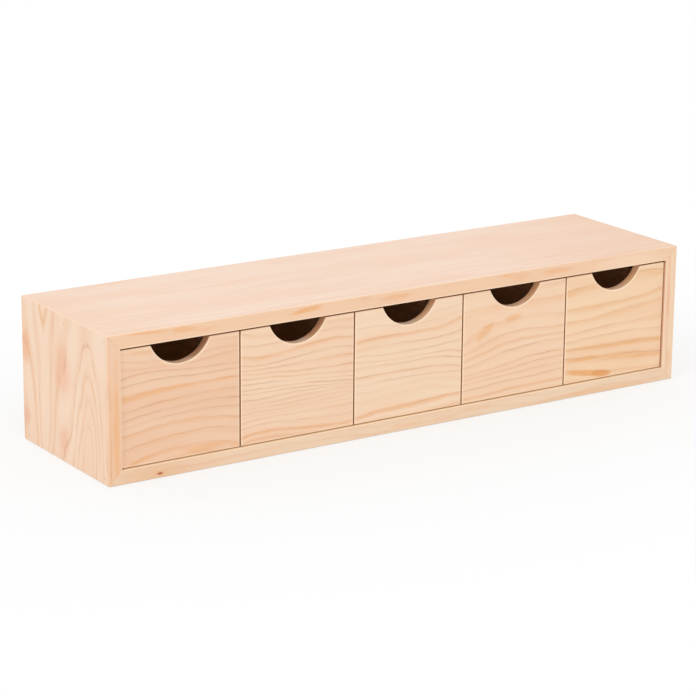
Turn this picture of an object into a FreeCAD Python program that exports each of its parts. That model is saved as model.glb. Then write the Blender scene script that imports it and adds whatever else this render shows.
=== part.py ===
"""Desktop mini drawers: a low pine case, mitred at the corners, with a row of equal drawers.

Millimetres. +Z is up, the drawers face -Y, and the origin is the middle of the case's underside.
"""
import FreeCAD, Part
import os

from FreeCAD import Vector

# Case
case_width = 600.0
case_depth = 155.0
case_height = 129.0
board = 12.5
outer_easing = 1.0
opening_easing = 0.5
mitre_groove = 0.25

# Back panel, flush in a rabbet round the back of the case
back_thickness = 3.0
back_seat = 5.0
back_play = 0.25

# Dividers, in stopped dados in the top and bottom boards
drawer_count = 5
divider_thickness = 4.0
divider_seat = 3.0
divider_setback = 1.0

# Drawer fronts
front_thickness = 9.0
front_recess = 2.5
front_side_gap = 1.2
front_top_gap = 1.8
front_bottom_gap = 0.7
front_easing = 0.7
notch_radius = 30.0
notch_depth = 19.0

# Drawer boxes
wall = 6.0
wall_side_gap = 0.75
wall_drop = 14.7
wall_seat = 4.0
wall_easing = 0.6
rear_gap = 0.3
bottom_thickness = 3.0
bottom_rise = 4.0
bottom_seat = 3.0
bottom_play = 0.2

# Brads, set a little below the wood
brad_radius = 0.6
brad_head_radius = 0.95
brad_head_length = 0.8
brad_point_length = 1.5
brad_set = 0.3
brad_play = 0.02
corner_brad_length = 25.0
corner_brad_inset = 7.0
corner_brads_per_edge = 3
back_brad_length = 12.0
back_brad_inset = 14.0
back_brad_column_count = 7
back_brad_row_count = 2
drawer_brad_length = 16.0
drawer_brad_inset = 16.0
drawer_brads_per_edge = 2

# How far a cutting tool runs past the wood that it cuts, and how near counts as touching
overrun = 4.0
touch = 0.01

# Places that follow from the sizes above
half_width = case_width / 2
half_depth = case_depth / 2
inner_half_width = half_width - board
floor = board
ceiling = case_height - board
back_face = half_depth - back_thickness
pitch = 2 * inner_half_width / drawer_count

front_y = -half_depth + front_recess
front_back_y = front_y + front_thickness
front_half_width = (pitch - front_side_gap) / 2
front_low = floor + front_bottom_gap
front_high = ceiling - front_top_gap
divider_front_y = front_back_y + divider_setback

wall_outer = (pitch - divider_thickness) / 2 - wall_side_gap
wall_inner = wall_outer - wall
wall_high = front_high - wall_drop
wall_front_y = front_back_y - wall_seat
wall_rear_y = back_face - rear_gap
rear_inner_y = wall_rear_y - wall
bottom_low = floor + bottom_rise
bottom_high = bottom_low + bottom_thickness

along_x = Vector(1, 0, 0)
along_y = Vector(0, 1, 0)

# A side is left or right of the middle, and a level is the lower or upper one
left, right = -1, 1
lower, upper = -1, 1


def block(x_span, y_span, z_span):
    """A square-edged block between three pairs of limits."""
    low = Vector(x_span[0], y_span[0], z_span[0])
    return Part.makeBox(x_span[1] - x_span[0], y_span[1] - y_span[0], z_span[1] - z_span[0], low)


def prism(points, direction):
    """A closed outline pushed along a direction."""
    outline = Part.makePolygon(points + points[:1])
    return Part.Face(outline).extrude(direction)


def spaced(low, high, count):
    """Evenly spaced places from low to high, both included."""
    return [low + (high - low) * i / (count - 1) for i in range(count)]


def upper_edges(solid, height):
    """The edges of a solid that lie wholly at one height."""
    return [edge for edge in solid.Edges
            if all(abs(vertex.Z - height) < touch for vertex in edge.Vertexes)]


# Brads. Each is given by the middle of its head at the wood's surface and the way it is driven.

def brad(surface, way, length):
    """One brad, with a small head and a pointed end, set below the surface."""
    top = surface + way * brad_set
    head = Part.makeCylinder(brad_head_radius, brad_head_length, top, way)
    shank_length = length - brad_point_length
    shank = Part.makeCylinder(brad_radius, shank_length, top, way)
    point = Part.makeCone(brad_radius, 0, brad_point_length, top + way * shank_length, way)
    return head.fuse([shank, point]).removeSplitter()


def brad_hole(surface, way, length):
    """The hole that a brad fills, open at the wood's surface."""
    outside = surface - way * overrun
    head_depth = overrun + brad_set + brad_head_length + brad_play
    shank_depth = overrun + brad_set + length + brad_play
    head = Part.makeCylinder(brad_head_radius + brad_play, head_depth, outside, way)
    shank = Part.makeCylinder(brad_radius + brad_play, shank_depth, outside, way)
    return head.fuse(shank)


def corner_brad_places():
    """Through the side boards into the mitred ends of the top and bottom boards."""
    rows = spaced(-half_depth + corner_brad_inset, back_face - corner_brad_inset, corner_brads_per_edge)
    places = []
    for side in (left, right):
        for z in (floor - board / 2, ceiling + board / 2):
            for y in rows:
                places.append((Vector(side * half_width, y, z), along_x * -side, corner_brad_length))
    return places


def back_brad_places():
    """Through the back panel into the rabbet, all round."""
    reach_x = inner_half_width + back_seat / 2
    columns = spaced(-inner_half_width + back_brad_inset, inner_half_width - back_brad_inset,
                     back_brad_column_count)
    rows = spaced(floor + back_brad_inset, ceiling - back_brad_inset, back_brad_row_count)
    spots = [(x, z) for x in columns for z in (floor - back_seat / 2, ceiling + back_seat / 2)]
    spots += [(x, z) for x in (-reach_x, reach_x) for z in rows]
    return [(Vector(x, half_depth, z), -along_y, back_brad_length) for x, z in spots]


def drawer_brad_places():
    """Through a drawer's sides into the ends of its back."""
    rows = spaced(bottom_high + drawer_brad_inset, wall_high - drawer_brad_inset, drawer_brads_per_edge)
    y = wall_rear_y - wall / 2
    return [(Vector(side * wall_outer, y, z), along_x * -side, drawer_brad_length)
            for side in (left, right) for z in rows]


def brads(places):
    """A group of brads, each a solid of its own."""
    return Part.makeCompound([brad(*place) for place in places])


def drilled(solid, places):
    """A solid with the holes for a group of brads."""
    return solid.cut([brad_hole(*place) for place in places])


# Case

def outer_height(level):
    """The height of the case's underside or top."""
    return case_height if level == upper else 0


def mitre_line(side, level):
    """A shallow groove in the front, where two eased board ends meet along one mitre."""
    outwards = Vector(side, 0, level)
    across = Vector(-level, 0, side).normalize()
    start = Vector(side * half_width, -half_depth, outer_height(level)) + outwards * overrun
    reach = mitre_groove + overrun
    section = [start + across * reach - along_y * overrun,
               start - across * reach - along_y * overrun,
               start + along_y * mitre_groove]
    return prism(section, outwards * -(board + overrun))


def case_shell():
    """The case's four boards in one, with eased edges, before the mitres part them."""
    outside = block((-half_width, half_width), (-half_depth, half_depth), (0, case_height))
    outside = outside.makeFillet(outer_easing, outside.Edges)
    x_span = (-inner_half_width, inner_half_width)
    opening = block(x_span, (-half_depth - overrun, half_depth + overrun), (floor, ceiling))
    shell = outside.cut(opening)
    rim = [edge for edge in shell.Edges
           if all(abs(vertex.Y + half_depth) < touch
                  and abs(vertex.X) < inner_half_width + touch
                  and floor - touch < vertex.Z < ceiling + touch for vertex in edge.Vertexes)]
    shell = shell.makeFillet(opening_easing, rim)
    grooves = [mitre_line(side, level) for side in (left, right) for level in (lower, upper)]
    rabbet = block((-inner_half_width - back_seat, inner_half_width + back_seat),
                   (back_face, half_depth + overrun), (floor - back_seat, ceiling + back_seat))
    return shell.cut(grooves + [rabbet])


def level_wedge(level):
    """The room of the top or bottom board, between two mitres."""
    outer_x = half_width + overrun
    inner_x = inner_half_width - overrun
    outer_z = outer_height(level) + level * overrun
    inner_z = outer_height(level) - level * (board + overrun)
    front = -half_depth - overrun
    points = [Vector(-outer_x, front, outer_z), Vector(outer_x, front, outer_z),
              Vector(inner_x, front, inner_z), Vector(-inner_x, front, inner_z)]
    return prism(points, along_y * (case_depth + 2 * overrun))


def upright_wedge(side):
    """The room of a side board, between two mitres."""
    outer_x = side * (half_width + overrun)
    inner_x = side * (inner_half_width - overrun)
    front = -half_depth - overrun
    points = [Vector(outer_x, front, -overrun), Vector(outer_x, front, case_height + overrun),
              Vector(inner_x, front, ceiling - overrun), Vector(inner_x, front, floor + overrun)]
    return prism(points, along_y * (case_depth + 2 * overrun))


def divider_places():
    """The middle of each divider, where two bays meet."""
    return [-inner_half_width + pitch * i for i in range(1, drawer_count)]


def divider(x):
    """A thin upright panel, held in the dados and stopping behind the drawer fronts."""
    x_span = (x - divider_thickness / 2, x + divider_thickness / 2)
    return block(x_span, (divider_front_y, back_face), (floor - divider_seat, ceiling + divider_seat))


def level_board(shell, level):
    """The top or bottom board, with its dados and brad holes."""
    wood = shell.common(level_wedge(level))
    wood = wood.cut([divider(x) for x in divider_places()])
    return drilled(wood, corner_brad_places() + back_brad_places())


def side_board(shell, side):
    """A side board with its brad holes."""
    wood = shell.common(upright_wedge(side))
    return drilled(wood, corner_brad_places() + back_brad_places())


def back_panel():
    """The thin panel in the rabbet, flush with the back."""
    reach = back_seat - back_play
    panel = block((-inner_half_width - reach, inner_half_width + reach), (back_face, half_depth),
                  (floor - reach, ceiling + reach))
    return drilled(panel, back_brad_places())


# Drawers, modelled in the middle of the case and moved to their bays

def drawer_wall(side):
    """A drawer side, let into the front and grooved for the bottom."""
    x_span = sorted((side * wall_outer, side * wall_inner))
    wood = block(x_span, (wall_front_y, wall_rear_y), (floor, wall_high))
    wood = wood.makeFillet(wall_easing, upper_edges(wood, wall_high))
    wood = wood.cut(bottom_groove())
    return drilled(wood, drawer_brad_places())


def bottom_groove():
    """The groove for the bottom panel, through both sides from end to end."""
    reach = wall_inner + bottom_seat
    return block((-reach, reach), (wall_front_y - overrun, wall_rear_y + overrun), (bottom_low, bottom_high))


def drawer_back():
    """The drawer's back, between its sides."""
    wood = block((-wall_inner, wall_inner), (rear_inner_y, wall_rear_y), (floor, wall_high))
    wood = wood.makeFillet(wall_easing, upper_edges(wood, wall_high))
    groove = block((-wall_inner - overrun, wall_inner + overrun),
                   (rear_inner_y - overrun, rear_inner_y + bottom_seat), (bottom_low, bottom_high))
    return drilled(wood.cut(groove), drawer_brad_places())


def drawer_bottom():
    """The bottom panel, held in grooves on all four sides."""
    reach = wall_inner + bottom_seat - bottom_play
    y_span = (front_back_y - bottom_seat + bottom_play, rear_inner_y + bottom_seat - bottom_play)
    return block((-reach, reach), y_span, (bottom_low, bottom_high))


def drawer_front():
    """The front, with its finger notch, the slots for the sides and the groove for the bottom."""
    plate = block((-front_half_width, front_half_width), (front_y, front_back_y), (front_low, front_high))
    notch_centre = Vector(0, front_y - overrun, front_high - notch_depth + notch_radius)
    notch = Part.makeCylinder(notch_radius, front_thickness + 2 * overrun, notch_centre, along_y)
    plate = plate.cut(notch)
    plate = plate.makeFillet(front_easing, plate.Edges)
    slots = []
    for side in (left, right):
        x_span = sorted((side * wall_outer, side * wall_inner))
        slots.append(block(x_span, (wall_front_y, front_back_y + overrun), (floor, wall_high)))
    groove = block((-wall_inner, wall_inner), (front_back_y - bottom_seat, front_back_y + overrun),
                   (bottom_low, bottom_high))
    return plate.cut(slots + [groove])


def drawer_pieces():
    """The pieces of one drawer, by name."""
    return {"front": drawer_front(),
            "left_side": drawer_wall(left),
            "right_side": drawer_wall(right),
            "back": drawer_back(),
            "bottom": drawer_bottom(),
            "brads": brads(drawer_brad_places())}


def case_pieces():
    """The pieces of the case, by name."""
    shell = case_shell()
    pieces = {"top_board": level_board(shell, upper),
              "bottom_board": level_board(shell, lower),
              "left_side_board": side_board(shell, left),
              "right_side_board": side_board(shell, right),
              "back_panel": back_panel(),
              "corner_brads": brads(corner_brad_places()),
              "back_brads": brads(back_brad_places())}
    for number, x in enumerate(divider_places(), start=1):
        pieces[f"divider_{number}"] = divider(x)
    return pieces


def bay_centre(number):
    """The way from the middle of the case to the middle of a bay, counted from the left."""
    return along_x * (-inner_half_width + pitch * (number - 0.5))


def write(name, shape):
    """One file for each piece, named after it."""
    shape.exportStep(os.path.join("parts", name + ".step"))
    print(name, len(shape.Solids), "solids, valid:", shape.isValid(), round(shape.Volume), "mm3")


os.makedirs("parts", exist_ok=True)
for name, shape in case_pieces().items():
    write(name, shape)
one_drawer = drawer_pieces()
for number in range(1, drawer_count + 1):
    for name, shape in one_drawer.items():
        write(f"drawer_{number}_{name}", shape.translated(bay_centre(number)))
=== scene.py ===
import math

import bpy
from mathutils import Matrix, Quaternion, Vector


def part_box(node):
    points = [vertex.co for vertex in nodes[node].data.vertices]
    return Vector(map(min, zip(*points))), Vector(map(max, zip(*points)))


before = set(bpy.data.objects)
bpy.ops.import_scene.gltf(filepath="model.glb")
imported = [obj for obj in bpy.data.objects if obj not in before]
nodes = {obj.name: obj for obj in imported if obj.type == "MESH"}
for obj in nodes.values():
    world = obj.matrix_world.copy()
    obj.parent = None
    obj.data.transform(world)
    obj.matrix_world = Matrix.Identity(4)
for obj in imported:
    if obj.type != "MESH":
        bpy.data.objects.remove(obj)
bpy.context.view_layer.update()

MM = 0.001
PER_METRE = 1000.0
LOW, HIGH = 0, 1
X, Y, Z = 0, 1, 2


def edge(node, side, axis):
    """One coordinate of a node's box at rest, in millimetres."""
    return round(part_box(node)[side][axis] * PER_METRE, 3)


# The case, and the middle drawer, which stands for all five, in millimetres

HALF_WIDTH = edge("right_side_board", HIGH, X)
HALF_DEPTH = edge("right_side_board", HIGH, Y)
CASE_HEIGHT = edge("top_board", HIGH, Z)
BOARD = edge("bottom_board", HIGH, Z)
OPENING_TOP = edge("top_board", LOW, Z)
DRAWERS = 5
MIDDLE_DRAWER = 3
BAY = edge("drawer_4_front", LOW, X) - edge("drawer_3_front", LOW, X)
FRONT_FACE = edge("drawer_3_front", LOW, Y)
FRONT_REAR = edge("drawer_3_front", HIGH, Y)
FRONT_HALF = edge("drawer_3_front", HIGH, X)
FRONT_BOTTOM = edge("drawer_3_front", LOW, Z)
FRONT_TOP = edge("drawer_3_front", HIGH, Z)
NOTCH_RADIUS = 30.0
NOTCH_DEPTH = 19.0
NOTCH_MIDDLE = FRONT_TOP - NOTCH_DEPTH + NOTCH_RADIUS
WALL_MIDDLE = (edge("drawer_3_right_side", LOW, X) + edge("drawer_3_right_side", HIGH, X)) / 2
REAR_MIDDLE = (edge("drawer_3_back", LOW, Y) + edge("drawer_3_back", HIGH, Y)) / 2


def bay_middle(number):
    """Where the middle of a drawer lies along the case."""
    return (number - MIDDLE_DRAWER) * BAY


def linear(red, green, blue):
    """A colour written from 0 to 255, as the shaders take it: linear, by the sRGB curve."""
    def one(value):
        share = value / 255
        return share / 12.92 if share <= 0.04045 else ((share + 0.055) / 1.055) ** 2.4
    return one(red), one(green), one(blue), 1.0


# The sockets of a Mix node that mixes colours: it has others of the same names for numbers and vectors
MIX_SHARE, MIX_A, MIX_B = 0, 6, 7
MIX_RESULT = 2

WOOD_SPECULAR = 0.2


class Graph:
    """The nodes of one material, made by short calls that return sockets. Their lengths are millimetres."""

    def __init__(self, name):
        self.material = bpy.data.materials.new(name)
        self.material.use_nodes = True
        self.tree = self.material.node_tree
        self.tree.nodes.clear()

    def node(self, kind, **settings):
        """A node of a kind, with its settings."""
        made = self.tree.nodes.new(kind)
        for key, value in settings.items():
            setattr(made, key, value)
        return made

    def plug(self, socket, value):
        """Gives an input a number, a colour or another node's output."""
        if isinstance(value, bpy.types.NodeSocket):
            self.tree.links.new(value, socket)
        else:
            socket.default_value = value

    def math(self, operation, *values):
        made = self.node("ShaderNodeMath", operation=operation)
        for socket, value in zip(made.inputs, values):
            self.plug(socket, value)
        return made.outputs[0]

    def add(self, *values):
        total = values[0]
        for value in values[1:]:
            total = self.math("ADD", total, value)
        return total

    def subtract(self, a, b):
        return self.math("SUBTRACT", a, b)

    def multiply(self, *values):
        total = values[0]
        for value in values[1:]:
            total = self.math("MULTIPLY", total, value)
        return total

    def largest(self, *values):
        most = values[0]
        for value in values[1:]:
            most = self.math("MAXIMUM", most, value)
        return most

    def length(self, a, b):
        """The length of a line that goes so far each of two ways."""
        return self.math("SQRT", self.add(self.multiply(a, a), self.multiply(b, b)))

    def point(self, x, y, z=0.0):
        """A vector with these three numbers."""
        made = self.node("ShaderNodeCombineXYZ")
        for socket, value in zip(made.inputs, (x, y, z)):
            self.plug(socket, value)
        return made.outputs[0]

    def scaled(self, places, grains):
        """A vector of places, each times its own number of grains to a unit of length."""
        return self.point(*[self.multiply(place, grain) for place, grain in zip(places, grains)])

    def split(self, vector):
        """The three numbers of a vector."""
        made = self.node("ShaderNodeSeparateXYZ")
        self.plug(made.inputs[0], vector)
        return tuple(made.outputs)

    def coordinates(self, kind):
        """The three numbers of a point's place in its object, in metres, or of its normal."""
        return self.split(self.node("ShaderNodeTexCoord").outputs[kind])

    def smooth(self, value, low, high, to_low=0.0, to_high=1.0):
        """A smooth step from to_low to to_high as value goes from low to high."""
        made = self.node("ShaderNodeMapRange", interpolation_type="SMOOTHSTEP")
        for socket, number in zip(made.inputs, (value, low, high, to_low, to_high)):
            self.plug(socket, number)
        return made.outputs[0]

    def noise(self, place, detail=2.0, roughness=0.5):
        """Noise from about 0 to 1 at a place that is already in units of its grain."""
        made = self.node("ShaderNodeTexNoise", noise_dimensions="3D")
        self.plug(made.inputs["Vector"], place)
        self.plug(made.inputs["Scale"], 1.0)
        self.plug(made.inputs["Detail"], detail)
        self.plug(made.inputs["Roughness"], roughness)
        return made.outputs["Fac"]

    def chance(self, value):
        """One random number for each whole value."""
        made = self.node("ShaderNodeTexWhiteNoise", noise_dimensions="1D")
        self.plug(made.inputs["W"], value)
        return made.outputs["Value"]

    def curve(self, value, points):
        """A smooth curve through points, by increasing value."""
        made = self.node("ShaderNodeFloatCurve")
        mapping = made.mapping
        mapping.use_clip = False
        mapping.extend = "EXTRAPOLATED"
        line = mapping.curves[0].points
        line[0].location = points[0]
        line[1].location = points[-1]
        for place in points[1:-1]:
            line.new(*place)
        mapping.update()
        self.plug(made.inputs["Value"], value)
        return made.outputs[0]

    def ramp(self, value, stops):
        """The three channels of a colour ramp through (place, (a, b, c)) stops."""
        made = self.node("ShaderNodeValToRGB")
        elements = made.color_ramp.elements
        elements[0].position, elements[1].position = stops[0][0], stops[-1][0]
        for place, _ in stops[1:-1]:
            elements.new(place)
        for element, (_, channels) in zip(elements, stops):
            element.color = (*channels, 1.0)
        self.plug(made.inputs["Fac"], value)
        parts = self.node("ShaderNodeSeparateColor")
        self.plug(parts.inputs[0], made.outputs["Color"])
        return tuple(parts.outputs)

    def mix(self, share, a, b, blend="MIX"):
        """Colour a with a share of colour b."""
        made = self.node("ShaderNodeMix", data_type="RGBA", blend_type=blend)
        self.plug(made.inputs[MIX_SHARE], share)
        self.plug(made.inputs[MIX_A], a)
        self.plug(made.inputs[MIX_B], b)
        return made.outputs[MIX_RESULT]

    def darken(self, colour, value):
        """A colour times one number, which is 1 where it stays as it is."""
        grey = self.node("ShaderNodeCombineColor")
        for socket in grey.inputs[:3]:
            self.plug(socket, value)
        return self.mix(1.0, colour, grey.outputs[0], "MULTIPLY")

    def blend_shaders(self, share, a, b):
        """Shader a with a share of shader b."""
        made = self.node("ShaderNodeMixShader")
        for socket, value in zip(made.inputs, (share, a, b)):
            self.plug(socket, value)
        return made.outputs[0]

    def wood(self, colour, roughness, height, strength, depth):
        """A matt wood shader, whose fine relief follows height and is so many millimetres deep."""
        surface = self.node("ShaderNodeBsdfPrincipled")
        self.plug(surface.inputs["Base Color"], colour)
        self.plug(surface.inputs["Roughness"], roughness)
        surface.inputs["Specular IOR Level"].default_value = WOOD_SPECULAR
        relief = self.node("ShaderNodeBump")
        relief.inputs["Strength"].default_value = strength
        relief.inputs["Distance"].default_value = depth * MM
        self.plug(relief.inputs["Height"], height)
        self.plug(surface.inputs["Normal"], relief.outputs["Normal"])
        return self.finish(surface.outputs[0])

    def finish(self, shader):
        """The material, with its surface made by a shader."""
        output = self.node("ShaderNodeOutputMaterial")
        self.tree.links.new(shader, output.inputs["Surface"])
        return self.material


# Pine. A board's grain is a field of ring numbers: each whole number is one dark line of late wood.

BLUSH = (0.985, 0.93, 0.9, 1.0)
LATE = linear(200, 144, 105)
AMBER = linear(236, 176, 122)
GOLDEN = linear(230, 168, 100)
END_GRAIN = linear(176, 120, 80)
# Painted shade on the case's inner faces
PAINTED_SHADE_BROWN = linear(186, 104, 46)
# Painted shade on the sides and top edges of the drawer fronts, seen down the gaps
PAINTED_GAP_SHADE = linear(178, 104, 44)
GLUE = linear(190, 132, 92)
# Painted highlight on rounded edges
PAINTED_HIGHLIGHT = linear(255, 236, 208)
KNOT = linear(172, 82, 46)

# How much of its own colour each of these gives at its strongest
LINE_SHARE = 0.8
FADE_SHARE = 0.1
DASH_SHARE = 0.16
END_SHARE = 0.75
PAINTED_SHADE_SHARE = 0.9

# Where a line and the fade round it start, and where a line's tail does, in millimetres past its ring number,
# and where the fade ends, as shares of the way to the next number
LINE_START = (-0.5, 0.0)
LINE_TAIL = 0.1
FADE_START = (-2.6, 0.7)
FADE_END_SHARES = (0.14, 0.5)

# Between which values each noise takes effect, and the least that it leaves of what it weakens
PATCHY_STEP = (0.38, 0.62)
GLOWING_STEP = (0.34, 0.6)
GLOWING_LEAST = 0.3
BLUSHING_STEP = (0.35, 0.68)
DASH_STEP = (0.66, 0.74)
FIBRE_STEP = (0.2, 0.8)
FIBRE_LEAST = 0.955

# Roughness, and what lines and dashes add to it and to the relief of the fibres
ROUGH_STEP = (0.3, 0.9)
PINE_ROUGHNESS = (0.52, 0.68)
LINE_ROUGHNESS = 0.2
LINE_RELIEF = 0.6
DASH_RELIEF = -0.5

# Noise in a board: grains to a millimetre along and across it, its own offset, then detail and roughness
WOBBLE = (0.022, 0.05, 0.0, 2.0)
RIPPLE = (0.1, 0.3, 3.0, 1.0)
WANDER = (0.006, 0.02, 4.0)
PATCHY = (0.02, 0.14, 5.0)
GLOWING = (0.014, 0.1, 6.0)
RAGGED = (0.08, 0.4, 9.0, 2.0)
FIBRE = (0.03, 2.2, 1.0, 3.0, 0.6)
BLUSHING = (0.008, 0.04, 2.0, 3.0)
DASH = (0.16, 2.6, 7.0, 1.0)
WOBBLE_REACH = 5.0
RIPPLE_REACH = 1.2
SEED_STEP = 137.0
OFFSET_STEP = 51.0

# The curve and ramp nodes work from 0 to 1, so places and rooms in millimetres, and ring numbers, go in as
# shares of these
STATION_SCALE = 200.0
SPACING_SCALE = 25.0
RING_SCALE = 32.0

# Where a board's four cross sections lie, from one end of its grain to the other
STATIONS = (-1.0, -1.0 / 3.0, 1.0 / 3.0, 1.0)

# Past a face's outermost lines: how far off the next one is, how it looks, and half the room of the outermost
NEXT_LINE = 14.0
NEXT_LOOK = (0.3, 0.2, 8.0 / SPACING_SCALE)
OUTER_ROOM = 7.0


class Board:
    """The places, in millimetres, of a point of a board: along its grain, across it, and into its depth. The
    grain runs along X, Y or Z, or is XF, along X in a board that lies flat. With a slant, the lines move
    across the grain as they go deeper than a face."""

    def __init__(self, g, grain, seed, slant=0.0, face=0.0):
        self.g = g
        x, y, z = (g.multiply(part, PER_METRE) for part in g.coordinates("Object"))
        nx, ny, nz = (g.math("ABSOLUTE", part) for part in g.coordinates("Normal"))
        self.x, self.y, self.z = x, y, z
        self.normal = (nx, ny, nz)
        self.along, self.across, self.depth = {"X": (x, z, y), "XF": (x, y, z), "Y": (y, z, x),
                                               "Z": (z, y, x)}[grain]
        self.end = {"X": nx, "Y": ny, "Z": nz}[grain[0]]
        self.shift = seed * SEED_STEP
        if slant:
            self.across = g.add(self.across, g.multiply(g.subtract(self.depth, face), slant))
        wobble = g.subtract(self.noise(*WOBBLE), 0.5)
        ripple = g.subtract(self.noise(*RIPPLE), 0.5)
        self.warped = g.add(self.across, g.multiply(wobble, WOBBLE_REACH), g.multiply(ripple, RIPPLE_REACH))

        # What a board may have otherwise: its painted shade and the colour of that, how squarely the grain
        # must be cut to show as end grain, the colour of that, and the colour and share of the glow above
        # each line
        self.shade = 0.0
        self.shade_tone = PAINTED_SHADE_BROWN
        self.oblique = 1.15
        self.end_tone = END_GRAIN
        self.glow_tone = AMBER
        self.glow_share = 0.68

    def noise(self, along, across, offset=0.0, detail=2.0, roughness=0.5):
        """Noise drawn out along the grain, with so many grains to a millimetre each way."""
        g = self.g
        place = (g.add(self.along, self.shift + offset * OFFSET_STEP), self.across, self.depth)
        return g.noise(g.scaled(place, (along, across, across)), detail, roughness)


def rings_through(board, middle, half, sections):
    """Ring numbers that follow four cross sections. Between them they run on the cubic through the four,
    whose weights are Lagrange's."""
    g = board.g
    t = g.multiply(g.subtract(board.along, middle), 1.0 / half)
    steps = [g.subtract(t, place) for place in STATIONS]
    total = None
    for i, points in enumerate(sections):
        scale = 1.0
        for j, place in enumerate(STATIONS):
            if j != i:
                scale /= STATIONS[i] - place
        weight = g.multiply(scale * RING_SCALE, *[step for j, step in enumerate(steps) if j != i])
        section = g.curve(g.multiply(board.warped, 1.0 / STATION_SCALE),
                          [(place / STATION_SCALE, ring / RING_SCALE) for place, ring in points])
        part = g.multiply(weight, section)
        total = part if total is None else g.add(total, part)
    return total


def lines_to_sections(lines, top):
    """Cross sections of a face whose lines are given by their depth below its top at the four stations."""
    sections = []
    for i in range(len(STATIONS)):
        points = [(top - line[i], float(n)) for n, line in enumerate(lines, start=1)]
        first, last = points[0], points[-1]
        points.insert(0, (first[0] + NEXT_LINE, 0.0))
        points.append((last[0] - NEXT_LINE, float(len(lines) + 1)))
        sections.append(points[::-1])
    return sections


def mean_depth(line):
    return sum(line[:len(STATIONS)]) / len(STATIONS)


def line_looks(lines):
    """Ramp stops that hold each line's darkness, amber glow and the room between it and its neighbours."""
    stops = [(0.0, NEXT_LOOK)]
    for n, line in enumerate(lines, start=1):
        low = mean_depth(lines[n - 2]) if n > 1 else mean_depth(line) - OUTER_ROOM
        high = mean_depth(lines[n]) if n < len(lines) else mean_depth(line) + OUTER_ROOM
        dark, amber = line[len(STATIONS):]
        stops.append((n / RING_SCALE, (dark, amber, (high - low) / 2 / SPACING_SCALE)))
    stops.append(((len(lines) + 1) / RING_SCALE, NEXT_LOOK))
    return stops


def held_looks(g, stops):
    """Looks of a ring by its number, from ramp stops."""
    def looks(number):
        return g.ramp(g.multiply(number, 1.0 / RING_SCALE), stops)
    return looks


# Where a blotch ends, as a share of its reach, and over how much of a normal end grain comes
PATCH_END_SHARE = 1.05
OBLIQUE_SOFT = 0.4


def patch(board, middle, size, lean=0.0, across=None, ragged=0.7, soft=0.35):
    """A soft blotch round a place along and across the grain. size is its reach each way, lean how much it
    rises along the grain, ragged how uneven its rim is, and soft how far out it is still whole."""
    g = board.g
    a = g.subtract(board.along, middle[0])
    c = g.subtract(g.subtract(board.across if across is None else across, middle[1]), g.multiply(a, lean))
    far = g.length(g.multiply(a, 1.0 / size[0]), g.multiply(c, 1.0 / size[1]))
    noise = g.multiply(g.subtract(board.noise(*RAGGED), 0.5), ragged)
    return g.smooth(g.add(far, noise), PATCH_END_SHARE, soft)


def pine(board, ring, looks, pale, patches, arris_highlight, broken=0.25, late=LATE, width=1.25):
    """Bare sanded pine. looks gives the darkness, amber glow and room of a ring, patches are masks, each with
    its share and colour, and the mask after them is the painted highlight on the rounded edges; the board's
    shade is painted shade. broken is how much of a line is left where it fades, late its colour and width how
    many millimetres it takes to fade out."""
    g = board.g
    number = g.math("FLOOR", g.add(ring, 0.5))
    past = g.subtract(ring, number)
    dark, amber, room = looks(number)
    past_mm = g.multiply(past, room, SPACING_SCALE)

    line = g.multiply(g.smooth(past_mm, *LINE_START), g.smooth(past_mm, LINE_TAIL, width, 1.0, 0.0))
    fade = g.multiply(g.smooth(past_mm, *FADE_START), g.smooth(past, *FADE_END_SHARES, 1.0, 0.0))
    patchy = g.smooth(board.noise(*PATCHY), *PATCHY_STEP, broken, 1.0)
    glowing = g.smooth(board.noise(*GLOWING), *GLOWING_STEP, GLOWING_LEAST, 1.0)
    fibre = board.noise(*FIBRE)
    dash = g.smooth(board.noise(*DASH), *DASH_STEP)

    blush = tuple(a * b for a, b in zip(pale, BLUSH))
    colour = g.mix(g.smooth(board.noise(*BLUSHING), *BLUSHING_STEP), pale, blush)
    colour = g.mix(g.multiply(fade, dark, FADE_SHARE), colour, late)
    colour = g.mix(g.multiply(fade, glowing, amber, board.glow_share), colour, board.glow_tone)
    for mask, share, tint in patches:
        colour = g.mix(g.multiply(mask, share), colour, tint)
    colour = g.mix(g.multiply(line, patchy, dark, LINE_SHARE), colour, late)
    colour = g.mix(g.multiply(dash, DASH_SHARE), colour, late)
    colour = g.darken(colour, g.smooth(fibre, *FIBRE_STEP, FIBRE_LEAST, 1.0))
    cut_end = g.smooth(board.end, board.oblique - OBLIQUE_SOFT, board.oblique)
    colour = g.mix(g.multiply(cut_end, END_SHARE), colour, board.end_tone)
    # Painted highlight on the rounded edges, then painted shade where the board has it
    colour = g.mix(arris_highlight, colour, PAINTED_HIGHLIGHT)
    colour = g.mix(g.multiply(board.shade, PAINTED_SHADE_SHARE), colour, board.shade_tone)

    roughness = g.smooth(g.add(fibre, g.multiply(line, LINE_ROUGHNESS)), *ROUGH_STEP, *PINE_ROUGHNESS)
    height = g.add(fibre, g.multiply(line, LINE_RELIEF), g.multiply(dash, DASH_RELIEF))
    return g.wood(colour, roughness, height, strength=0.3, depth=0.04)


# How much of a normal lies along an axis where a surface starts to face that way and where it does, the
# second pair for one that has to be quite square to it
FACING_STEP = (0.4, 0.9)
SQUARE_STEP = (0.9, 1.0)

# Round the case's opening, in millimetres: how soft a mask is, and how far out the painted shade inside and
# the painted highlight on the rounded edge reach
OPENING_SOFT = 0.5
SHADE_BEYOND = 0.3
HIGHLIGHT_BEYOND = 1.5

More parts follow.
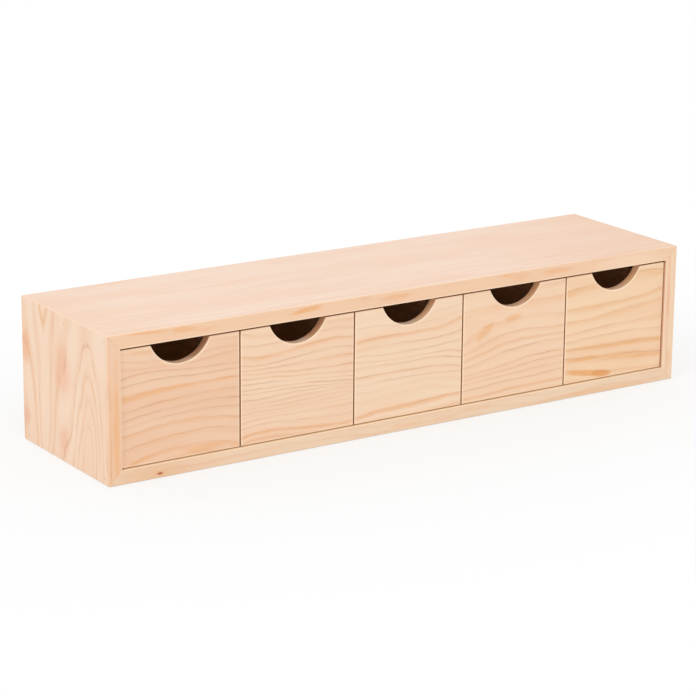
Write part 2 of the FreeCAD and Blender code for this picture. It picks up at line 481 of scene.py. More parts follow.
# How deep the painted shade of a board's inner face is at its front edge and at the fronts, what share of it
# is left further back, and over how many millimetres it falls to that
CASE_SHADE = (0.25, 0.85)
FAINT_SHADE = (0.0, 0.1)
BACK_SHARE = 0.3
BACK_FALL = 8.0


def faces(board, axis):
    """1 where the surface faces along an axis, either way."""
    return board.g.smooth(board.normal[axis], *FACING_STEP)


def outside(g, value, low, high):
    """1 where a value has left the room between low and high."""
    half = (high - low) / 2
    off = g.math("ABSOLUTE", g.subtract(value, (low + high) / 2))
    return g.smooth(off, half - OPENING_SOFT, half)


def out_of_opening(board, beyond):
    """1 on what lies further than this beyond the case's opening, sideways, up or down."""
    g = board.g
    return g.largest(outside(g, board.x, BOARD - HALF_WIDTH - beyond, HALF_WIDTH - BOARD + beyond),
                     outside(g, board.z, BOARD - beyond, OPENING_TOP + beyond))


def inner_shade(board, low, high):
    """Painted shade on the faces of the case that look inwards: deep brown beside the drawer fronts, fainter
    behind them.
    """
    g = board.g
    inside = g.subtract(1.0, out_of_opening(board, SHADE_BEYOND))
    return g.multiply(inside, g.smooth(board.y, -HALF_DEPTH, FRONT_FACE, low, high),
                      g.smooth(board.y, FRONT_REAR, FRONT_REAR + BACK_FALL, 1.0, BACK_SHARE))


# The glue line: how far off it has gone and is whole, in millimetres, the grains of its noise to a
# millimetre, between which values that takes effect, and the least that it leaves
GLUE_REACH = (0.8, 0.2)
GLUE_GRAINS = (0.2, 0.2)
GLUE_STEP = (0.4, 0.6)
GLUE_LEAST = 0.25


def mitre(board):
    """The thin line of glue where two boards of the case meet."""
    g = board.g
    across = g.subtract(HALF_WIDTH, g.math("ABSOLUTE", board.x))
    up = g.subtract(CASE_HEIGHT / 2, g.math("ABSOLUTE", g.subtract(board.z, CASE_HEIGHT / 2)))
    off = g.math("ABSOLUTE", g.subtract(across, up))
    near = g.multiply(g.smooth(off, *GLUE_REACH), faces(board, Y))
    uneven = g.noise(g.scaled((board.x, board.z), GLUE_GRAINS))
    return g.multiply(near, g.smooth(uneven, *GLUE_STEP, GLUE_LEAST, 1.0))


# Painted highlight on rounded edges: the steps over which the surface turns, and how bright it is round the
# face of a drawer front, round the opening and elsewhere
EASED_STEP = (0.01, 0.1)
CORNER_STEP = (0.985, 0.8)
FRONT_HIGHLIGHT = 0.85
OPENING_HIGHLIGHT = 0.8
PLAIN_HIGHLIGHT = 0.22


def eased_highlight(board, axis):
    """The painted highlight where the surface turns away from a face that lies square to an axis: on the
    rounded edge of that face.
    """
    g = board.g
    n = board.normal[axis]
    return g.smooth(g.multiply(n, g.subtract(1.0, n)), *EASED_STEP, 0.0, FRONT_HIGHLIGHT)


def corner_highlight(board, share=PLAIN_HIGHLIGHT):
    """The painted highlight where the surface faces none of the three axes, on the rounded edges."""
    g = board.g
    return g.smooth(g.largest(*board.normal), *CORNER_STEP, 0.0, share)


def case_highlight(board):
    """The painted highlight on the case's rounded edges, brighter round the opening than outside."""
    g = board.g
    beyond = out_of_opening(board, HIGHLIGHT_BEYOND)
    return g.multiply(corner_highlight(board, 1.0), g.smooth(beyond, 0.0, 1.0, OPENING_HIGHLIGHT, PLAIN_HIGHLIGHT))


# The faintest lines of a plain board, as shares of its strongest, and the chances between which amber comes
DARK_LEAST_SHARE = 0.3
AMBER_LEAST_SHARE = 0.1
AMBER_STEP = (0.4, 1.0)


def plain_pine(name, grain, seed, pith, spacing, pale, strength, patches, broken=0.25, of_case=(),
               wander=30.0):
    """A board whose rings run about a pith that lies beside it, for grain that isn't drawn line by line.
    of_case, on a board of the case, gives the painted shade of its inner face at its front edge and at the
    fronts, and wander is how far its rings stray, in millimetres."""
    g = Graph(name)
    board = Board(g, grain, seed)
    # Painted shade on the inner face of a board of the case
    if of_case:
        board.shade = inner_shade(board, *of_case)
    drift = g.multiply(g.subtract(board.noise(*WANDER), 0.5), wander)
    radius = g.length(g.subtract(g.add(board.warped, drift), pith[0]),
                      g.subtract(g.add(board.depth, drift), pith[1]))
    ring = g.multiply(radius, 1.0 / spacing)

    def looks(number):
        chance = g.chance(g.add(number, board.shift))
        other = g.chance(g.add(number, board.shift + 0.5))
        return (g.smooth(chance, 0.0, 1.0, DARK_LEAST_SHARE * strength, strength),
                g.smooth(other, *AMBER_STEP, AMBER_LEAST_SHARE * strength, strength),
                spacing / SPACING_SCALE)

    # Painted highlight on the rounded edges
    arris_highlight = case_highlight(board) if of_case else corner_highlight(board)
    return pine(board, ring, looks, pale, patches(board), arris_highlight, broken)


# Each front's lines, from its top down: their depth below the opening's top at the left edge, a third and
# two thirds of the way and the right edge, then how dark and how amber they are

FRONT_LINES = (
    ((1.3, 6.3, 3.8, 7.0, 0.1, 0.6), (11.0, 16.3, 13.8, 13.0, 0.4, 0.1),
     (17.0, 20.7, 20.0, 17.3, 0.5, 0.2), (28.0, 24.0, 26.3, 28.5, 0.5, 0.15),
     (34.2, 30.2, 32.0, 33.2, 0.6, 0.1), (43.0, 40.0, 39.6, 40.7, 0.35, 1.0),
     (56.0, 51.0, 49.2, 50.2, 0.5, 0.4), (64.0, 58.3, 56.0, 58.0, 0.7, 0.05),
     (70.2, 64.8, 63.5, 65.8, 0.5, 0.1), (76.5, 71.8, 70.8, 75.7, 0.5, 0.45),
     (90.0, 83.3, 81.0, 86.3, 0.45, 0.4), (107.5, 94.2, 93.0, 100.4, 0.2, 0.9),
     (116.0, 102.0, 101.0, 107.5, 0.3, 0.5)),
    ((4.2, 9.2, 7.0, 6.3, 0.3, 0.2), (15.0, 16.3, 13.3, 14.2, 0.4, 0.2),
     (24.8, 27.1, 22.1, 22.5, 0.35, 0.65), (32.0, 34.6, 30.7, 31.8, 0.55, 0.1),
     (36.7, 38.8, 38.0, 38.5, 0.5, 0.5), (40.6, 43.9, 45.4, 46.1, 0.5, 0.3),
     (44.8, 48.0, 49.8, 53.7, 0.5, 0.4), (49.0, 52.0, 54.2, 58.3, 0.45, 0.0),
     (54.2, 56.3, 57.7, 62.0, 0.5, 0.3), (57.2, 59.3, 61.3, 64.2, 0.45, 0.0),
     (62.5, 63.8, 63.8, 65.8, 0.35, 0.0), (67.0, 67.7, 67.0, 68.3, 0.3, 0.0),
     (71.5, 71.7, 71.0, 72.0, 0.3, 0.0), (76.0, 75.5, 75.3, 74.2, 0.3, 0.1),
     (80.0, 79.0, 78.5, 79.0, 0.2, 0.0), (84.5, 82.0, 83.0, 82.0, 0.35, 0.2),
     (88.8, 87.3, 90.4, 90.0, 0.35, 0.1), (97.1, 94.2, 98.3, 98.8, 0.3, 0.8),
     (102.5, 100.0, 103.5, 104.0, 0.2, 0.4)),
    ((8.3, 10.8, 12.5, 9.2, 0.15, 0.0), (17.5, 18.0, 20.0, 15.0, 0.3, 0.0),
     (28.9, 27.8, 27.5, 21.0, 0.45, 0.6), (36.7, 36.1, 36.5, 33.2, 0.5, 0.2),
     (43.0, 44.3, 44.2, 42.3, 0.55, 0.2), (48.2, 50.0, 50.0, 52.3, 0.4, 0.25),
     (53.3, 54.2, 54.3, 58.8, 0.5, 0.1), (61.5, 61.8, 62.0, 67.0, 0.45, 0.35),
     (69.0, 68.5, 68.8, 72.3, 0.4, 0.0), (75.4, 75.0, 74.2, 79.6, 0.2, 0.1),
     (83.3, 82.0, 80.4, 87.0, 0.1, 0.1), (97.6, 94.6, 92.0, 92.0, 0.4, 0.8),
     (103.0, 103.0, 102.5, 101.5, 0.2, 0.5)),
    ((18.0, 17.0, 18.0, 17.0, 0.15, 0.4), (49.0, 33.0, 31.5, 34.6, 0.25, 0.4),
     (57.5, 46.7, 44.0, 45.4, 0.3, 0.3), (65.0, 56.0, 51.5, 52.0, 0.45, 0.5),
     (70.8, 63.0, 57.7, 58.0, 0.5, 0.15), (78.6, 74.3, 69.0, 68.3, 0.6, 0.2),
     (82.0, 78.8, 75.0, 74.4, 0.5, 0.3), (86.3, 84.0, 82.0, 81.0, 0.45, 0.0),
     (91.7, 90.0, 88.5, 87.0, 0.5, 0.1), (99.6, 98.2, 96.7, 95.8, 0.3, 0.6),
     (104.5, 104.0, 103.0, 102.0, 0.2, 0.3)),
    ((15.8, 11.7, 7.0, 8.3, 0.4, 0.5), (33.0, 32.5, 31.0, 24.2, 0.3, 0.4),
     (44.8, 43.3, 38.5, 34.3, 0.35, 0.3), (56.0, 54.6, 53.0, 52.5, 0.4, 0.2),
     (63.0, 62.8, 63.0, 64.6, 0.35, 0.2), (70.0, 71.5, 72.5, 74.0, 0.42, 0.75),
     (78.8, 81.2, 83.6, 87.0, 0.45, 0.85), (91.3, 95.8, 99.2, 102.0, 0.4, 0.6),
     (101.0, 104.0, 107.0, 110.0, 0.2, 0.3)),
)
FRONT_PALE = (linear(238, 203, 174), linear(242, 212, 185), linear(243, 216, 189), linear(243, 212, 183),
              linear(244, 212, 179))
FRONT_ENDS = (linear(190, 132, 92), linear(214, 154, 108), linear(244, 192, 144), linear(238, 184, 134),
              linear(250, 200, 152))
FRONT_SEED = 20
STREAK = linear(236, 172, 108)
HEART = linear(226, 156, 90)
# Painted light round a front's face
PAINTED_FACE_LIGHT = linear(255, 228, 196)

# How far in from a front's edges each of these starts and is whole, in millimetres: the rim with painted
# shade, the painted light round the face, and the stretch at the top where the case keeps the light off
LEFT_RIM = (0.15, 0.0)
RIGHT_RIM = (0.55, 0.1)
TOP_RIM = (0.15, 0.0)
SIDE_LIGHT = (1.9, 0.9)
NOTCH_LIGHT = (2.0, 0.9)
TOP_LIGHT = (5.0, 0.8)
BOTTOM_LIGHT = (2.2, 0.9)
SHELTERED = (1.2, 0.5)

# How strong they are: the rim's painted shade, the painted light round the face and at its bottom beside
# the rest, and the painted highlight on the arris at the top
RIM_SHADE_SHARE = 0.82
FACE_LIGHT_SHARE = 0.55
BOTTOM_LIGHT_SHARE = 0.8
SHELTERED_SHARE = 0.35


def front_blotches(board, number):
    """Blotches of single fronts, with their shares and colours."""
    if number == 1:
        return [(patch(board, (-208.0, 18.5), (27.0, 4.4)), 0.5, AMBER)]
    if number == 4:
        return [(patch(board, (82.0, 76.5), (13.0, 6.0), 0.6), 0.55, AMBER),
                (patch(board, (113.0, 85.5), (12.0, 4.2), 0.1), 0.55, AMBER)]
    if number == 5:
        return [(patch(board, (201.0, 20.4), (30.0, 3.8), -0.16, ragged=0.4, soft=0.6), 0.7, STREAK),
                (patch(board, (216.5, 17.8), (13.0, 4.2), -0.1, ragged=0.4, soft=0.7), 0.6, HEART),
                (patch(board, (194.0, 35.0), (24.0, 3.0)), 0.45, GOLDEN)]
    return []


def front_rim_shade(board, middle):
    """Painted shade on the sides and the top edge of a front, which are seen down the gaps round it."""
    g = board.g
    return g.largest(g.smooth(board.x, *[middle - FRONT_HALF + reach for reach in LEFT_RIM]),
                     g.smooth(board.x, *[middle + FRONT_HALF - reach for reach in RIGHT_RIM]),
                     g.smooth(board.z, *[FRONT_TOP - reach for reach in TOP_RIM]))


def front_painted_light(board, middle):
    """Painted light on the outermost millimetres of a front's face, and on those round its notch."""
    g = board.g
    off = g.subtract(board.x, middle)
    from_notch = g.length(off, g.subtract(board.z, NOTCH_MIDDLE))
    worn = g.largest(g.smooth(g.math("ABSOLUTE", off), *[FRONT_HALF - reach for reach in SIDE_LIGHT]),
                     g.smooth(from_notch, *[NOTCH_RADIUS + reach for reach in NOTCH_LIGHT]),
                     g.smooth(board.z, *[FRONT_TOP - reach for reach in TOP_LIGHT]),
                     g.smooth(board.z, *[FRONT_BOTTOM + reach for reach in BOTTOM_LIGHT],
                              0.0, BOTTOM_LIGHT_SHARE))
    return g.multiply(g.smooth(board.normal[Y], *SQUARE_STEP), worn)


def front_pine(number):
    """A drawer front, whose grain follows its own lines."""
    lines = FRONT_LINES[number - 1]
    middle = bay_middle(number)
    g = Graph(f"pine_front_{number}")
    board = Board(g, "X", FRONT_SEED + number, slant=0.55, face=FRONT_FACE)
    ring = rings_through(board, middle, BAY / 2, lines_to_sections(lines, OPENING_TOP))
    board.oblique = 0.6
    board.end_tone = FRONT_ENDS[number - 1]
    if number == 5:
        board.glow_tone = GOLDEN
        board.glow_share = 0.8
    # Painted shade on the rim seen down the gaps
    board.shade = g.multiply(front_rim_shade(board, middle), RIM_SHADE_SHARE)
    board.shade_tone = PAINTED_GAP_SHADE
    # Painted light round the face
    patches = [*front_blotches(board, number), (front_painted_light(board, middle), FACE_LIGHT_SHARE, PAINTED_FACE_LIGHT)]
    # The painted highlight on the rounded edge is weaker at the top, where the case keeps the light off
    sheltered = g.smooth(board.z, *[FRONT_TOP - reach for reach in SHELTERED], 1.0, SHELTERED_SHARE)
    return pine(board, ring, held_looks(g, line_looks(lines)), FRONT_PALE[number - 1], patches,
                g.multiply(eased_highlight(board, Y), sheltered))


# Cross sections of the left side board: (place from front to back, ring number) at the bottom, a third and
# two thirds of the way up and the top. Then the darkness, amber glow and room of some rings, by number

LEFT_SECTIONS = (
    ((-77.5, 7.1), (-67.5, 6.0), (-63.0, 5.0), (-54.0, 4.0), (-41.0, 2.0), (-30.0, 3.0), (-22.5, 4.0),
     (-15.5, 5.0), (4.0, 6.0), (22.5, 7.0), (30.0, 8.0), (35.5, 8.6), (44.5, 8.0), (52.5, 7.0),
     (64.0, 6.5), (77.5, 6.1)),
    ((-77.5, 7.2), (-66.0, 6.0), (-59.5, 5.0), (-55.0, 4.0), (-41.0, 3.05), (-34.5, 4.0), (-24.0, 5.0),
     (-16.0, 6.0), (2.5, 6.6), (15.5, 7.0), (24.5, 8.0), (35.5, 8.7), (46.0, 8.0), (55.0, 7.0),
     (66.0, 6.5), (77.5, 6.2)),
    ((-77.5, 7.05), (-67.5, 6.5), (-58.0, 6.0), (-44.5, 5.0), (-27.5, 6.0), (-15.0, 6.5), (-2.5, 7.0),
     (9.0, 7.2), (22.0, 8.0), (35.5, 8.5), (48.5, 8.0), (61.0, 7.2), (72.5, 6.95), (77.5, 6.9)),
    ((-77.5, 7.0), (-65.0, 6.6), (-40.0, 6.3), (-23.5, 6.6), (-12.5, 7.0), (2.5, 7.5), (17.5, 8.0),
     (28.5, 9.0), (36.5, 9.7), (43.5, 9.0), (55.0, 8.0), (66.0, 7.5), (77.5, 7.3)),
)
LEFT_LOOKS = (
    (0, (0.3, 0.1, 0.3)), (2, (0.2, 0.0, 0.3)), (3, (0.5, 0.1, 0.3)), (4, (0.6, 0.3, 0.3)),
    (5, (0.7, 0.5, 0.35)), (6, (0.8, 0.3, 0.35)), (7, (0.6, 0.5, 0.4)), (8, (0.6, 0.3, 0.3)),
    (9, (0.5, 0.8, 0.3)), (32, (0.2, 0.2, 0.3)),
)
LEFT_PALE = linear(246, 219, 195)
LEFT_LATE = linear(221, 170, 138)
LEFT_EDGE = linear(226, 171, 126)

# Its blotches: place up and back, reach each way, share and colour
LEFT_BLOTCHES = (
    ((79.0, 2.0), (30.0, 21.0), 0.3, linear(238, 160, 120)),
    ((20.0, 2.0), (16.0, 11.0), 0.3, linear(238, 162, 128)),
    ((85.0, 72.0), (18.0, 13.0), 0.45, linear(238, 165, 115)),
    ((23.0, 72.0), (11.0, 9.0), 0.3, linear(228, 150, 130)),
)


def left_pine():
    """The left side board, whose grain follows its own lines, and whose front edge is warmer."""
    g = Graph("pine_left_side")
    board = Board(g, "Z", 3, slant=0.8, face=-HALF_WIDTH)
    ring = rings_through(board, CASE_HEIGHT / 2, CASE_HEIGHT / 2, LEFT_SECTIONS)
    stops = [(number / RING_SCALE, look) for number, look in LEFT_LOOKS]
    ends = faces(board, Y)
    ahead = g.multiply(ends, g.smooth(board.y, 0.0, -70.0))
    glow = g.multiply(ends, patch(board, (44.0, -292.2), (78.0, 3.6), across=board.x))
    patches = [(patch(board, place, reach), share, tint) for place, reach, share, tint in LEFT_BLOTCHES]
    patches += [(ahead, 0.36, LEFT_EDGE), (glow, 0.6, AMBER), (mitre(board), 0.3, GLUE)]
    # Painted shade on its inner face, and painted highlight on its rounded edges
    board.shade = inner_shade(board, *CASE_SHADE)
    return pine(board, ring, held_looks(g, stops), LEFT_PALE, patches, case_highlight(board), broken=0.15,
                late=LEFT_LATE, width=0.9)


# Steel brads; those of the case have a wood-coloured coat, worn in specks

SPECKS_PER_MM = 3.0
COAT_PALE = linear(246, 214, 186)
COAT_DARK = linear(224, 186, 150)
STEEL_BRIGHT = linear(188, 185, 181)
STEEL_DULL = linear(150, 146, 141)

# Between which values the speckle wears the coat off, dulls the steel and roughens it, and how rough it is
WORN_STEP = (0.7, 0.8)
DULL_STEP = (0.35, 0.7)
SPECK_STEP = (0.2, 0.8)
STEEL_ROUGHNESS = (0.32, 0.55)


def steel(name, coated):
    g = Graph(name)
    place = [g.multiply(part, SPECKS_PER_MM * PER_METRE) for part in g.coordinates("Object")]
    speck = g.noise(g.point(*place), 3.0)
    surface = g.node("ShaderNodeBsdfPrincipled")
    worn = g.smooth(speck, *WORN_STEP) if coated else 1.0
    coat = g.mix(speck, COAT_PALE, COAT_DARK)
    bright = g.mix(g.smooth(speck, *DULL_STEP), STEEL_BRIGHT, STEEL_DULL)
    g.plug(surface.inputs["Base Color"], g.mix(worn, coat, bright))
    g.plug(surface.inputs["Roughness"], g.smooth(speck, *SPECK_STEP, *STEEL_ROUGHNESS))
    g.plug(surface.inputs["Metallic"], worn)
    return g.finish(surface.outputs[0])


def dress(node, material):
    """Gives a CAD node its material."""
    mesh = nodes[node].data
    mesh.materials.clear()
    mesh.materials.append(material)


# Amber places on the front edges of the top and bottom boards: middle along and up, reach along and up, how
# much it rises along the edge, share

TOP_GLOWS = ((-262.0, 126.8, 27.0, 2.0, -0.05, 0.6), (-228.0, 124.6, 18.0, 3.2, -0.05, 0.6),
             (-207.0, 122.4, 15.0, 2.6, 0.0, 0.3), (-107.0, 124.6, 21.0, 3.0, 0.1, 0.85),
             (-49.0, 126.4, 8.0, 1.8, 0.0, 0.4), (-16.0, 123.4, 23.0, 3.4, 0.0, 0.5),
             (103.0, 126.4, 10.0, 2.0, 0.0, 0.5), (118.0, 123.5, 15.0, 5.0, 0.0, 0.3),
             (160.0, 123.5, 23.0, 3.2, 0.0, 0.5))
BOTTOM_GLOWS = ((-255.0, 5.0, 44.0, 9.0, 0.0, 0.22), (-5.0, 5.5, 22.0, 2.0, -0.03, 0.25),
                (75.0, 8.0, 30.0, 2.2, -0.02, 0.2), (215.0, 3.0, 75.0, 3.2, -0.01, 0.35))

# Along the top, from where to where its two ends take their colour, with a share of the way back added. Then
# where the bottom's front edge turns dull, and where its knot lies along and up
TAN_END = (100.0, 330.0)
TAN_SLANT_SHARE = -0.5
WARM_END = (-235.0, -292.0)
WARM_SLANT_SHARE = 0.25
DULL_END = (-180.0, -260.0)
KNOT_PLACE = (-252.0, 4.0)

# How far in from their edges these start and are whole, in millimetres: the painted highlight on the lip of
# the top board, the painted light on the ledge of the bottom board at its top and at the fronts, and the
# painted shade, a deeper orange, inside a drawer
LIP_HIGHLIGHT = (1.7, 0.6)
LEDGE_TOP = (1.0, 0.2)
LEDGE_REAR = (3.0, 0.0)
INSIDE_SOFT = (0.3, 0.0)

TAN = linear(240, 200, 170)
WARM = linear(244, 204, 172)
EDGE_PALE = linear(239, 203, 170)
EDGE_FAIR = linear(248, 220, 194)
EDGE_DULL = linear(226, 188, 156)
# Painted light and shade: a highlight on the top board's lip, light on the bottom board's ledge, and shade
# inside the drawers
PAINTED_LIP_HIGHLIGHT = linear(255, 230, 200)
PAINTED_LEDGE_LIGHT = linear(255, 226, 184)
PAINTED_INSIDE_SHADE = linear(250, 182, 128)
RIGHT_BLOTCH = linear(240, 176, 140)


def front_edge(board):
    """1 on the edge of a board that faces the front."""
    g = board.g
    return g.multiply(faces(board, Y), g.math("LESS_THAN", board.y, 0.0))


def edge_glow(board, spots, all_over):
    """A warmer front edge, and amber places along it."""
    g = board.g
    ahead = front_edge(board)
    glows = [(ahead, all_over, AMBER)]
    for x, z, along, up, rise, share in spots:
        spot = patch(board, (x, z), (along, up), rise, across=board.z)
        glows.append((g.multiply(spot, ahead), share, AMBER))
    return glows


def top_patches(board):
    """Warmer ends on top, and a front edge that is paler towards the right, with a painted highlight along it
    beside the opening.
    """
    g = board.g
    above = faces(board, Z)
    ahead = front_edge(board)
    tan_end = g.multiply(above, g.smooth(g.add(board.x, g.multiply(board.y, TAN_SLANT_SHARE)), *TAN_END))
    warm_end = g.multiply(above, g.smooth(g.add(board.x, g.multiply(board.y, WARM_SLANT_SHARE)), *WARM_END))
    fair = g.multiply(ahead, patch(board, (243.0, 122.0), (52.0, 8.0), across=board.z))
    # Painted highlight along the lip above the opening
    worn = g.multiply(ahead, g.smooth(board.z, *[OPENING_TOP + reach for reach in LIP_HIGHLIGHT]))
    return [(tan_end, 0.42, TAN), (warm_end, 0.28, WARM), (ahead, 0.7, EDGE_PALE),
            *edge_glow(board, TOP_GLOWS, 0.2), (fair, 0.45, EDGE_FAIR), (mitre(board), 0.3, GLUE),
            (worn, 0.5, PAINTED_LIP_HIGHLIGHT)]


def bottom_patches(board):
    """A small knot in the front edge, duller wood round it, and painted light on the ledge in front of the
    drawers.
    """
    g = board.g
    ahead = front_edge(board)
    knot = g.multiply(ahead, patch(board, KNOT_PLACE, (3.8, 1.4), across=board.z, ragged=0.4))
    halo = g.multiply(ahead, patch(board, KNOT_PLACE, (9.0, 2.6), across=board.z))
    dull = g.multiply(ahead, g.smooth(board.x, *DULL_END))
    # Painted light on the ledge in front of the drawers
    ledge_light = g.multiply(faces(board, Z), g.smooth(board.z, *[BOARD - reach for reach in LEDGE_TOP]),
                       g.smooth(board.y, *[FRONT_FACE + reach for reach in LEDGE_REAR]))
    return [(dull, 0.3, EDGE_DULL), *edge_glow(board, BOTTOM_GLOWS, 0.08), (halo, 0.4, AMBER),
            (ledge_light, 0.6, PAINTED_LEDGE_LIGHT), (knot, 0.9, KNOT), (mitre(board), 0.2, GLUE)]


def right_patches(board):
    """Two blotches on the outer face of the right side board."""
    blotch = patch(board, (80.0, 292.0), (24.0, 3.0), across=board.x)
    low = patch(board, (22.0, 295.0), (14.0, 3.0), across=board.x)
    return [(blotch, 0.35, RIGHT_BLOTCH), (low, 0.3, AMBER), (mitre(board), 0.3, GLUE)]


def box_shade_patches(middle):
    """Painted shade: the faces inside a drawer are a deeper orange than those outside it."""
    def patches(board):
        g = board.g
        off = g.math("ABSOLUTE", g.subtract(board.x, middle))
        inside = g.multiply(g.smooth(off, *[WALL_MIDDLE + reach for reach in INSIDE_SOFT]),
                            g.smooth(board.y, *[REAR_MIDDLE + reach for reach in INSIDE_SOFT]))
        return [(inside, 0.4, PAINTED_INSIDE_SHADE)]
    return patches


# Plywood: a rotary-cut face, and plies across its edges, every other one cut across its grain

PLY = 1.0
PLY_PALE = linear(228, 190, 150)
PLY_GOLDEN = linear(232, 186, 138)
PLY_LATE = linear(206, 144, 96)
PLY_ALONG = linear(206, 162, 118)
PLY_ACROSS = linear(150, 104, 66)

# Grains of noise to a millimetre along X, across it and through the sheet, and how many bands the figure has
PLY_FIGURE = (0.0032, 0.022, 0.01)
PLY_THREADS = (0.08, 2.4, 0.2)
PLY_BLOTCH = (0.012, 0.02)
PLY_BANDS = 22.0

# Where in a band its late wood starts and ends, between which values the blotches, the plies and the cut edge
# come, the least that the threads leave of the brightness, and how rough it is
PLY_LATE_START = (0.0, 0.15)
PLY_LATE_END = (0.2, 0.9)
PLY_BLOTCH_STEP = (0.35, 0.65)
PLY_TURN = (0.4, 0.6)
PLY_EDGE_STEP = (0.7, 0.4)
PLY_LEAST = 0.93
PLY_ROUGHNESS = (0.6, 0.78)
PLY_LATE_RELIEF = 0.5


def plywood(name, through, late_share=0.38):
    """A sheet whose thickness runs through X, Y or Z."""
    g = Graph(name)
    board = Board(g, "XF", 7)
    place, facing = {"X": (board.x, board.normal[X]), "Y": (board.y, board.normal[Y]),
                     "Z": (board.z, board.normal[Z])}[through]
    other = board.z if through == "Y" else board.y
    figure = g.noise(g.scaled((board.x, other, place), PLY_FIGURE), detail=1.6, roughness=0.4)
    bands = g.multiply(figure, PLY_BANDS)
    past = g.subtract(bands, g.math("FLOOR", bands))
    late = g.multiply(g.smooth(past, *PLY_LATE_START), g.smooth(past, *PLY_LATE_END, 1.0, 0.0))
    fibre = g.noise(g.scaled((board.x, other, board.z), PLY_THREADS), detail=3.0, roughness=0.6)
    blotch = g.noise(g.scaled((board.x, other), PLY_BLOTCH))

    face = g.mix(g.smooth(blotch, *PLY_BLOTCH_STEP), PLY_PALE, PLY_GOLDEN)
    face = g.mix(g.multiply(late, late_share), face, PLY_LATE)
    plies = g.mix(g.smooth(g.math("PINGPONG", place, PLY), *PLY_TURN), PLY_ALONG, PLY_ACROSS)
    colour = g.mix(g.smooth(facing, *PLY_EDGE_STEP), face, plies)
    colour = g.darken(colour, g.smooth(fibre, *FIBRE_STEP, PLY_LEAST, 1.0))
    # Painted highlight on the rounded edges
    colour = g.mix(corner_highlight(board), colour, PAINTED_HIGHLIGHT)
    roughness = g.smooth(fibre, *FIBRE_STEP, *PLY_ROUGHNESS)
    height = g.add(fibre, g.multiply(late, PLY_LATE_RELIEF))
    return g.wood(colour, roughness, height, strength=0.4, depth=0.05)


# The boards, each in its own wood

# Paler on top, partly the board's own colour and partly painted sheen
TOP_PALE_AND_SHEEN = linear(246, 221, 203)
BOTTOM_PALE = linear(239, 216, 191)
RIGHT_PALE = linear(243, 214, 186)
BOX_PALE = linear(240, 198, 160)
BOX_SEED = 30

dress("top_board", plain_pine(
    "pine_top", "XF", 1, pith=(-110.0, 60.0), spacing=6.5, pale=TOP_PALE_AND_SHEEN, strength=0.17, patches=top_patches,
    broken=0.1, of_case=CASE_SHADE, wander=16.0))
dress("bottom_board", plain_pine(
    "pine_bottom", "XF", 2, pith=(-60.0, 60.0), spacing=7.0, pale=BOTTOM_PALE, strength=0.3,
    patches=bottom_patches, of_case=FAINT_SHADE))
dress("left_side_board", left_pine())
dress("right_side_board", plain_pine(
    "pine_right_side", "Z", 4, pith=(-140.0, 60.0), spacing=6.0, pale=RIGHT_PALE, strength=0.5,
    patches=right_patches, broken=0.2, of_case=CASE_SHADE, wander=12.0))
ply_upright = plywood("ply_divider", "X")
ply_flat = plywood("ply_drawer_bottom", "Z")
metal = steel("brad_steel", False)
dress("back_panel", plywood("ply_back", "Y", 0.5))
for number in range(1, DRAWERS + 1):
    dress(f"drawer_{number}_front", front_pine(number))
    for place, grain in (("left_side", "Y"), ("right_side", "Y"), ("back", "X")):
        dress(f"drawer_{number}_{place}", plain_pine(
            f"pine_{place}_{number}", grain, BOX_SEED + number, pith=(-60.0, 260.0), spacing=5.0,
            pale=BOX_PALE, strength=0.4, patches=box_shade_patches(bay_middle(number))))
    dress(f"drawer_{number}_bottom", ply_flat)
    dress(f"drawer_{number}_brads", metal)
for number in range(1, DRAWERS):
    dress(f"divider_{number}", ply_upright)
dress("corner_brads", steel("brad_coated", True))
dress("back_brads", metal)


# Camera, matched to the photograph's view of the case's corners

AZIMUTH = math.radians(-33.37)
ELEVATION = math.radians(15.94)
ROLL = math.radians(0.51)
CAMERA_PLACE = Vector((-1.2592, -1.8893, 0.7043))
FOCAL_PIXELS = 2619.9
IMAGE_PIXELS = 696
SENSOR = 36.0

back = Vector((math.sin(AZIMUTH) * math.cos(ELEVATION), -math.cos(AZIMUTH) * math.cos(ELEVATION),
               math.sin(ELEVATION)))
camera_data = bpy.data.cameras.new("camera")
camera_data.sensor_width = SENSOR
camera_data.lens = FOCAL_PIXELS / IMAGE_PIXELS * SENSOR
camera_data.clip_end = 100.0
camera = bpy.data.objects.new("camera", camera_data)
camera.rotation_mode = "QUATERNION"
camera.rotation_quaternion = Quaternion(back, ROLL) @ (-back).to_track_quat("-Z", "Y")
camera.location = CAMERA_PLACE
bpy.context.scene.collection.objects.link(camera)
bpy.context.scene.camera = camera


# Floor, world and lamps

WORLD_TINT = (1.0, 0.985, 0.965, 1.0)
WORLD_STRENGTH = 0.92
WHITE = (1.0, 1.0, 1.0, 1.0)
FLOOR_TINT = (0.89, 0.91, 0.925, 1.0)
FLOOR_REACH = 12.0
FLOOR_DROP = 0.2 * MM

# The floor turns white between these distances from the middle, in metres, less quickly along X, and this is
# the share of white at the middle
FLOOR_FADE = (0.1, 0.5)
FLOOR_STRETCH = 0.6
FLOOR_WHITE_SHARE = 0.62

# What the lamps point at, and how wide they are
OBJECT_MIDDLE = (0.0, 0.0, 0.06)
LAMP_SIZE = 1.6


def looked_at(g):
    """1 where the camera, a reflection or a clear surface looks straight at something, else 0."""
    path = g.node("ShaderNodeLightPath")
    return g.largest(path.outputs["Is Camera Ray"], path.outputs["Is Glossy Ray"],
                     path.outputs["Is Transmission Ray"])


class WorldGraph(Graph):
    """The nodes of the world."""

    def __init__(self):
        world = bpy.data.worlds.new("studio")
        bpy.context.scene.world = world
        world.use_nodes = True
        self.tree = world.node_tree
        self.tree.nodes.clear()


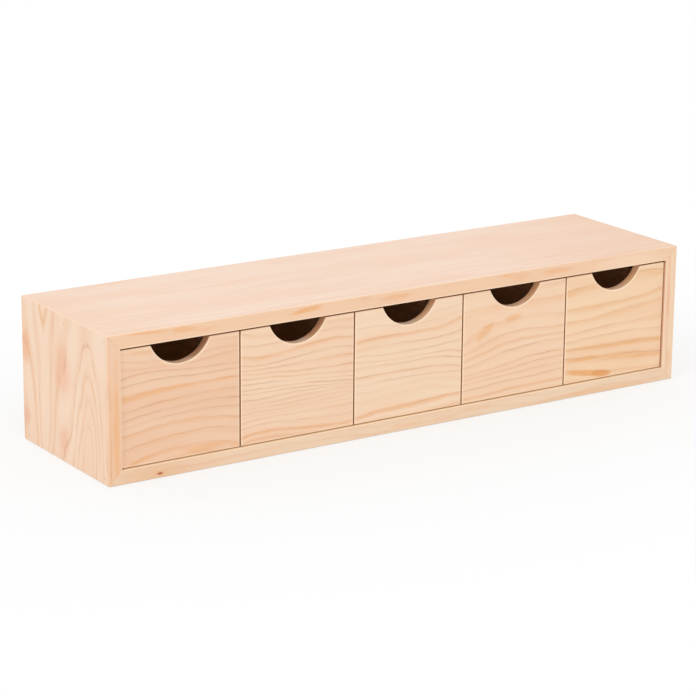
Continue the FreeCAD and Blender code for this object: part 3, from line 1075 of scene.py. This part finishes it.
def make_world():
    """Even warm light from all round, seen as white."""
    g = WorldGraph()
    light = g.node("ShaderNodeBackground")
    light.inputs["Color"].default_value = WORLD_TINT
    light.inputs["Strength"].default_value = WORLD_STRENGTH
    white = g.node("ShaderNodeBackground")
    white.inputs["Color"].default_value = WHITE
    white.inputs["Strength"].default_value = 1.0
    output = g.node("ShaderNodeOutputWorld")
    g.plug(output.inputs["Surface"], g.blend_shaders(looked_at(g), light.outputs[0], white.outputs[0]))


def make_floor():
    """A pale matt floor just under the object, which turns to plain white further away."""
    mesh = bpy.data.meshes.new("floor")
    corners = [(-FLOOR_REACH, -FLOOR_REACH, 0), (FLOOR_REACH, -FLOOR_REACH, 0), (FLOOR_REACH, FLOOR_REACH, 0),
               (-FLOOR_REACH, FLOOR_REACH, 0)]
    mesh.from_pydata(corners, [], [(0, 1, 2, 3)])
    floor = bpy.data.objects.new("floor", mesh)
    floor.location.z = -FLOOR_DROP
    bpy.context.scene.collection.objects.link(floor)
    g = Graph("floor_white")
    x, y, _ = g.coordinates("Object")
    away = g.smooth(g.length(g.multiply(x, FLOOR_STRETCH), y), *FLOOR_FADE, FLOOR_WHITE_SHARE, 1.0)
    matte = g.node("ShaderNodeBsdfDiffuse")
    matte.inputs["Color"].default_value = FLOOR_TINT
    glow = g.node("ShaderNodeEmission")
    glow.inputs["Strength"].default_value = 1.0
    white_share = g.multiply(looked_at(g), away)
    mesh.materials.append(g.finish(g.blend_shaders(white_share, matte.outputs[0], glow.outputs[0])))


def lamp(name, place, watts):
    """A soft round lamp that points at the object."""
    data = bpy.data.lights.new(name, "AREA")
    data.shape = "DISK"
    data.size = LAMP_SIZE
    data.energy = watts
    made = bpy.data.objects.new(name, data)
    made.location = place
    made.rotation_mode = "QUATERNION"
    made.rotation_quaternion = (Vector(OBJECT_MIDDLE) - Vector(place)).to_track_quat("-Z", "Y")
    bpy.context.scene.collection.objects.link(made)


make_world()
make_floor()
lamp("key", place=(-2.6, -1.2, 2.6), watts=19.5)
lamp("fill", place=(-0.6, -3.2, 1.3), watts=11.0)

bpy.context.scene.view_settings.view_transform = "Standard"
